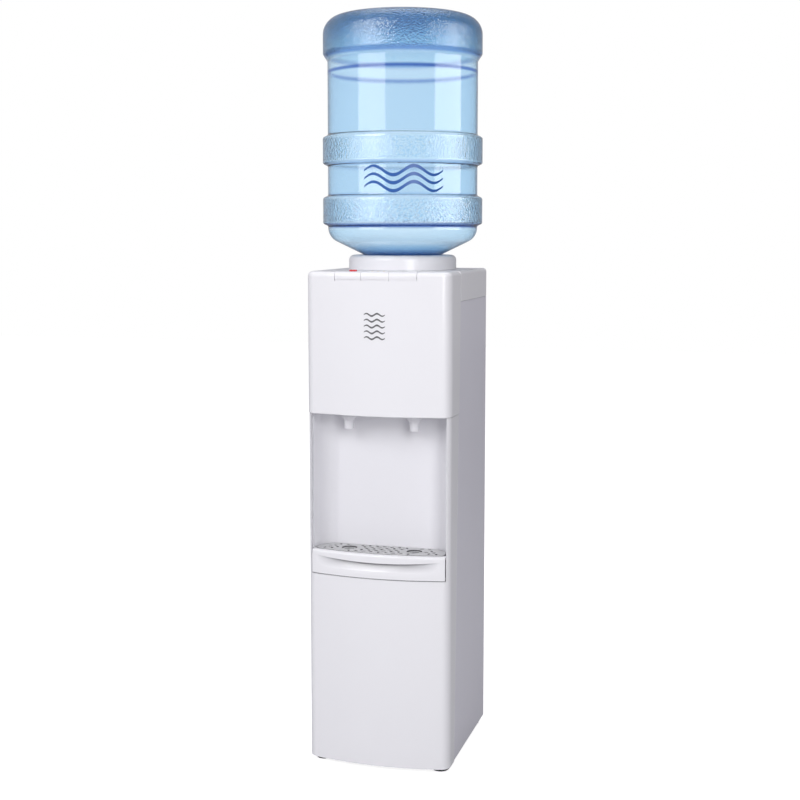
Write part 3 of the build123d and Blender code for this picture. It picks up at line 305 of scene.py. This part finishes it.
def bottle_finish(name):
    """Clear tinted polycarbonate, smooth on the wall and pebbled on the base band and the two rings, with
    painted light and shade in bands by height, near the axis and between the pebbles.
    """
    finish, tree, shader, place = start_finish(name, WALL_BLUE, 0.02)
    shader.inputs["IOR"].default_value = 1.5
    shader.inputs["Transmission Weight"].default_value = 1.0
    depth = tree.nodes.new("ShaderNodeVolumeAbsorption")
    depth.inputs["Color"].default_value = (0.10, 0.58, 0.87, 1.0)
    depth.inputs["Density"].default_value = 120.0
    tree.links.new(depth.outputs["Volume"], tree.nodes["Material Output"].inputs["Volume"])

    pebbles = tree.nodes.new("ShaderNodeTexVoronoi")
    pebbles.inputs["Scale"].default_value = PEBBLES_PER_METRE
    tree.links.new(on_axis(tree, place), pebbles.inputs["Vector"])
    split = tree.nodes.new("ShaderNodeSeparateXYZ")
    tree.links.new(place, split.inputs["Vector"])
    height = split.outputs["Z"]
    pebbled = pebbled_area(tree, height)
    tree.links.new(spread(tree, pebbled, 0.10, 0.05, 0.0, 1.0), shader.inputs["Roughness"])

    radius = tree.nodes.new("ShaderNodeVectorMath")
    radius.operation = "LENGTH"
    tree.links.new(on_axis(tree, place, (1.0, 1.0, 0.0)), radius.inputs[0])
    # Painted shade: darker blue near the axis.
    near_axis = spread(tree, radius.outputs["Value"], 1.0, 0.0, 0.03, 0.085)
    colour = mixed(tree, near_axis, banded_tints(tree, height), HOLLOW_SHADE_BLUE)
    # Painted shade in the creases between the pebbles, on the base band and the rings.
    bead_edge_shade = times(tree, spread(tree, pebbles.outputs["Distance"], 0.0, 1.0, 0.35, 0.65), pebbled)
    colour = mixed(tree, bead_edge_shade, colour, (0.76, 0.87, 0.95), "MULTIPLY")
    tree.links.new(colour, shader.inputs["Base Color"])

    ripples = noise(tree, place, 10.0, 1.0, (1.0, 1.0, 0.35))
    rippled = relief(tree, shader, ripples, 0.0006)
    relief(tree, shader, times(tree, pebbled, pebbles.outputs["Distance"]), PEBBLE_RELIEF, 1.0, rippled)
    return finish


FINISHES = {
    "white_plastic": plastic("glossy_white_plastic", (0.80, 0.795, 0.825), 0.30, coat=0.2),
    "liner_plastic": plastic("satin_white_plastic", (0.77, 0.765, 0.80), 0.42),
    "white_matt": plastic("matt_white_plastic", (0.78, 0.78, 0.79), 0.5),
    "white_steel": paint("white_powder_coat", (0.74, 0.73, 0.80), 0.36),
    "zinc_steel": metal("galvanised_sheet", (0.60, 0.61, 0.62), 0.42, (1.0, 1.0, 1.0), 45.0),
    "black_rubber": rubber("black_rubber", (0.015, 0.015, 0.016), 0.7),
    "bottle_blue": bottle_finish("blue_polycarbonate"),
    "cap_blue": plastic("blue_cap_plastic", (0.03, 0.10, 0.42), 0.35),
    "lock_red": plastic("red_plastic", (0.62, 0.03, 0.04), 0.3),
    "lens_amber": plastic("amber_lens", (0.80, 0.62, 0.42), 0.2),
    "stainless": metal("drawn_stainless", (0.66, 0.65, 0.63), 0.26),
    "copper": metal("copper_tube", (0.80, 0.42, 0.27), 0.3, (1.0, 1.0, 1.0), 60.0),
    "foam": foam("white_foam", (0.86, 0.86, 0.84)),
    "silicone": hose("milky_silicone", (0.80, 0.82, 0.81)),
    "black_paint": paint("black_enamel", (0.012, 0.012, 0.014), 0.28),
    "black_plastic": plastic("black_plastic", (0.02, 0.02, 0.021), 0.45, 1500.0, 0.00002),
    "rocker_red": plastic("red_rocker", (0.55, 0.03, 0.03), 0.28),
    "rocker_green": plastic("green_rocker", (0.04, 0.30, 0.10), 0.28),
    "bright_steel": metal("plated_steel", (0.72, 0.71, 0.70), 0.22, (1.0, 1.0, 1.0), 200.0),
    "board_green": plastic("green_board", (0.03, 0.17, 0.07), 0.35),
}


HOLE_SHADE_EDGE = (0.0004, 0.0008)  # below the grille's top, where the painted shade down its holes begins
CUP_FLOOR = (0.0026, 0.0034)  # below the grille's top, where the cups' floors stay grey, left out of the painted shade


def grille_finish():
    """Grey plastic, with painted shade down the sides of its slots and cups."""
    finish = plastic("slotted_grey_plastic", (0.52, 0.52, 0.53), 0.42, 1200.0, 0.00002)
    tree, _, _, z = axes(finish)
    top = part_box("grille")[1].z
    # Painted shade: the slot and cup walls below the top are darkened, except the cups' floors.
    below = spread(tree, z, 1.0, 0.0, top - HOLE_SHADE_EDGE[1], top - HOLE_SHADE_EDGE[0])
    cup_floor = within(tree, z, top - CUP_FLOOR[1], top - CUP_FLOOR[0])
    paint_shade(finish, times(tree, below, cup_floor, "SUBTRACT"), (0.14, 0.14, 0.15))
    return finish


# Places on the drip tray. Depths are measured back from its bowed front face.
TRAY_INSET = 0.001  # how far that face stands behind the upper panel's
SCOOP_SHADE_DEPTH = (0.0006, 0.0078)  # the painted shade in the scoop deepens from the first to the second
SCOOP_SHADE_BACK = 0.0095
SCOOP_SHADE_Z = (0.335, 0.3645)
# Where a painted shadow line runs along the seam below the tray's front.
SEAM_SHADOW_DEPTH = (-0.002, 0.009)
SEAM_SHADOW_Z = (0.32, 0.3301)
# The tub's inside, under the grille, is painted dark grey as shade.
TUB_DEPTH = (0.0115, 0.3)
TUB_SIDE = 0.0068  # from the tray's side to inside the tub's wall
TUB_BACK = 0.0025
TUB_FLOOR = 0.0015
TUB_TOP_Z = 0.3655


def tray_finish():
    """Glossy white, with painted shade in the finger scoop, a painted shadow line along the seam below, and
    painted dark grey shade inside the tub.
    """
    finish = plastic("tray_plastic", (0.80, 0.795, 0.825), 0.30, coat=0.2)
    tree, x, y, z = axes(finish)
    bow = times(tree, times(tree, x, x), 0.5 / BOW_R)
    depth = times(tree, times(tree, y, bow, "SUBTRACT"), -(FRONT_Y + TRAY_INSET), "ADD")

    # Painted shade under the lip, in the finger scoop.
    deepening = spread(tree, depth, 0.0, 1.0, *SCOOP_SHADE_DEPTH)
    scoop = times(tree, deepening, within(tree, depth, SCOOP_SHADE_DEPTH[0], SCOOP_SHADE_BACK))
    paint_shade(finish, times(tree, scoop, within(tree, z, *SCOOP_SHADE_Z)), (0.24, 0.24, 0.25))

    # Painted shadow line along the seam below the tray's front.
    seam = times(tree, within(tree, depth, *SEAM_SHADOW_DEPTH), within(tree, z, *SEAM_SHADOW_Z))
    paint_shade(finish, seam, (0.30, 0.30, 0.31))

    # Painted shade: the tub's inside is darkened to dark grey.
    low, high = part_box("drip_tray")
    across = within(tree, x, low.x + TUB_SIDE, high.x - TUB_SIDE)
    across = times(tree, across, within(tree, depth, *TUB_DEPTH))
    along = within(tree, y, low.y, high.y - TUB_BACK)
    along = times(tree, along, within(tree, z, low.z + TUB_FLOOR, TUB_TOP_Z))
    paint_shade(finish, times(tree, across, along), (0.16, 0.16, 0.17))
    return finish


OWN_FINISHES = {"grille": grille_finish(), "drip_tray": tray_finish()}
MARK_GREY = plastic("grey_print", (0.13, 0.13, 0.135), 0.35)
MARK_BLUE = plastic("blue_print", (0.02, 0.10, 0.36), 0.35)

for row in frame["record"]["subparts"]:
    node = frame["nodes"][row["node"]]
    node.data.materials.clear()
    node.data.materials.append(OWN_FINISHES.get(row["node"]) or FINISHES[row["material_slot"]])


# ---- printed marks ----
def wave_print(name, width, line, heights, finish, body, place_on):
    """Thin wavy lines printed on a surface.

    place_on turns a distance along the print and a height into a point.
    """
    bpy.ops.object.select_all(action="DESELECT")
    parts = []
    for height in heights:
        bpy.ops.mesh.primitive_grid_add(x_subdivisions=72, y_subdivisions=2, size=1.0)
        strip = bpy.context.object
        for v in strip.data.vertices:
            along, across = v.co.x, v.co.y
            taper = 1.0 - 0.55 * (2 * abs(along)) ** 3
            swing = math.sin(along * 4 * math.pi) * width * 0.055
            v.co = place_on(along * width, height + swing + across * line * taper)
        parts.append(strip)
    for strip in parts:
        strip.select_set(True)
    bpy.context.view_layer.objects.active = parts[0]
    bpy.ops.object.join()
    mark = bpy.context.object
    mark.name = name
    mark.data.name = name
    mark.data.materials.clear()
    mark.data.materials.append(finish)
    bpy.ops.object.mode_set(mode="EDIT")
    bpy.ops.mesh.select_all(action="SELECT")
    bpy.ops.mesh.normals_make_consistent(inside=False)
    bpy.ops.object.mode_set(mode="OBJECT")
    thick = mark.modifiers.new("ink", "SOLIDIFY")
    thick.thickness = NUDGE
    thick.offset = 0.0
    bpy.ops.object.modifier_apply(modifier="ink")
    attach(mark, body)
    bpy.ops.object.select_all(action="DESELECT")
    return mark


def on_front(along, height):
    """A point just ahead of the bowed front."""
    return Vector((along, FRONT_Y + BOW_R - math.sqrt(BOW_R**2 - along**2) - NUDGE, height))


BOTTLE_MARK_TURN = math.radians(-73.5)


def on_bottle(along, height):
    """A point just outside the bottle's wall."""
    turn = BOTTLE_MARK_TURN + along / BOTTLE_WALL_R
    r = BOTTLE_WALL_R + NUDGE
    return Vector((r * math.cos(turn), BOTTLE_Y + r * math.sin(turn), height))


FRONT_MARK_Z = (0.7685, 0.759, 0.7495, 0.740, 0.7305)
BOTTLE_MARK_Z = (1.003, 0.990, 0.977)
wave_print("front_mark", 0.036, 0.0030, FRONT_MARK_Z, MARK_GREY, "cabinet", on_front)
wave_print("bottle_mark", 0.136, 0.0058, BOTTLE_MARK_Z, MARK_BLUE, "bottle", on_bottle)


# ---- studio ----
def softbox(name, place, aim, size, power):
    """A rectangular lamp pointed at a place. It isn't seen, in the open or through the bottle."""
    data = bpy.data.lights.new(name, "AREA")
    data.shape = "RECTANGLE"
    data.size, data.size_y = size
    data.energy = power
    lamp = bpy.data.objects.new(name, data)
    bpy.context.scene.collection.objects.link(lamp)
    lamp.location = place
    lamp.visible_camera = False
    lamp.visible_transmission = False
    lamp.rotation_euler = (Vector(aim) - Vector(place)).to_track_quat("-Z", "Y").to_euler()
    return lamp


FLOOR_COLOUR = (0.50, 0.50, 0.51)
FLOOR_GLOW = 0.88  # lifts the floor to near white for the camera and through the bottle, and lights nothing
FLOOR_SIZE = 16.0
FLOOR_Z = -0.0005  # just under the feet

bpy.ops.mesh.primitive_plane_add(size=FLOOR_SIZE, location=(0.0, 0.0, FLOOR_Z))
floor = bpy.context.object
floor.name = "floor"
floor_finish, tree, floor_shader, _ = start_finish("pale_floor", FLOOR_COLOUR, 0.9)
floor_shader.inputs["Specular IOR Level"].default_value = 0.1
floor_shader.inputs["Emission Color"].default_value = (1.0, 1.0, 1.0, 1.0)
path = tree.nodes.new("ShaderNodeLightPath")
seen = times(tree, path.outputs["Is Camera Ray"], path.outputs["Is Transmission Ray"], "MAXIMUM")
tree.links.new(times(tree, seen, FLOOR_GLOW), floor_shader.inputs["Emission Strength"])
floor.data.materials.append(floor_finish)

# The room is brighter on the left, white behind the object, and darker above and below through the bottle.
world = bpy.data.worlds.new("studio")
bpy.context.scene.world = world
world.use_nodes = True
tree = world.node_tree
towards = tree.nodes.new("ShaderNodeSeparateXYZ")
tree.links.new(tree.nodes.new("ShaderNodeTexCoord").outputs["Generated"], towards.inputs["Vector"])
upright = tree.nodes.new("ShaderNodeMath")
upright.operation = "ABSOLUTE"
tree.links.new(towards.outputs["Z"], upright.inputs[0])
path = tree.nodes.new("ShaderNodeLightPath")


def sky(colour, strength):
    """One background. The strength is a number or a pattern over the directions."""
    background = tree.nodes.new("ShaderNodeBackground")
    background.inputs["Color"].default_value = (*colour, 1.0)
    if isinstance(strength, float):
        background.inputs["Strength"].default_value = strength
    else:
        tree.links.new(strength, background.inputs["Strength"])
    return background.outputs[0]


def choose(ray, otherwise, chosen):
    """Shows the chosen background to one kind of ray."""
    mix = tree.nodes.new("ShaderNodeMixShader")
    tree.links.new(path.outputs[ray], mix.inputs["Fac"])
    tree.links.new(otherwise, mix.inputs[1])
    tree.links.new(chosen, mix.inputs[2])
    return mix.outputs[0]


fill = sky((0.95, 0.94, 1.0), spread(tree, towards.outputs["X"], 0.56, 0.26, -0.9, 0.9))
through = sky((0.93, 0.97, 1.0), spread(tree, upright.outputs[0], 1.08, 0.55, 0.3, 0.9))
clean = sky((1.0, 1.0, 1.0), 1.0)
shown = choose("Is Camera Ray", choose("Is Transmission Ray", fill, through), clean)
tree.links.new(shown, tree.nodes["World Output"].inputs["Surface"])

softbox("key", (-1.3, -2.7, 2.4), (0.0, 0.0, 0.65), (1.6, 1.6), 49.0)
softbox("top", (0.0, 0.3, 3.0), (0.0, 0.0, 0.8), (2.0, 2.0), 24.0)

# This one would put a hard line down the bottle.
front = softbox("front", (1.5, -2.4, 1.5), (0.05, 0.0, 0.7), (0.8, 1.8), 36.0)
all_but_bottle = bpy.data.collections.new("all_but_bottle")
all_but_bottle.objects.link(frame["nodes"]["bottle"])
all_but_bottle.collection_objects[0].light_linking.link_state = "EXCLUDE"
front.light_linking.receiver_collection = all_but_bottle

# Two for the bottle alone, for the pale bands down its wall: name, turn about the bottle, width and power.
BOTTLE_LAMPS = (("bottle_left", -31.0, 1.5, 30.0), ("bottle_right", 88.0, 1.7, 40.0))
LAMP_AWAY = 1.9
bottle_only = bpy.data.collections.new("bottle_only")
bottle_only.objects.link(frame["nodes"]["bottle"])
for name, turn, wide, power in BOTTLE_LAMPS:
    way = Vector((math.sin(math.radians(turn)), -math.cos(math.radians(turn)), 0.0))
    place = way * LAMP_AWAY + Vector((0.0, BOTTLE_Y, 1.25))
    lamp = softbox(name, place, (0.0, BOTTLE_Y, 1.15), (wide, 1.5), power)
    lamp.light_linking.receiver_collection = bottle_only

CAMERA_PLACE = (0.6449, -2.2619, 0.905)
CAMERA_DOWN, CAMERA_TURN = 5.953, 15.921  # degrees
camera_data = bpy.data.cameras.new("camera")
camera_data.lens = 61.1
camera_data.sensor_width = 36.0
camera_data.shift_y = -0.035
camera = bpy.data.objects.new("camera", camera_data)
bpy.context.scene.collection.objects.link(camera)
camera.location = CAMERA_PLACE
camera.rotation_euler = (math.radians(90.0 - CAMERA_DOWN), 0.0, math.radians(CAMERA_TURN))
bpy.context.scene.camera = camera
bpy.context.scene.view_settings.view_transform = "Standard"
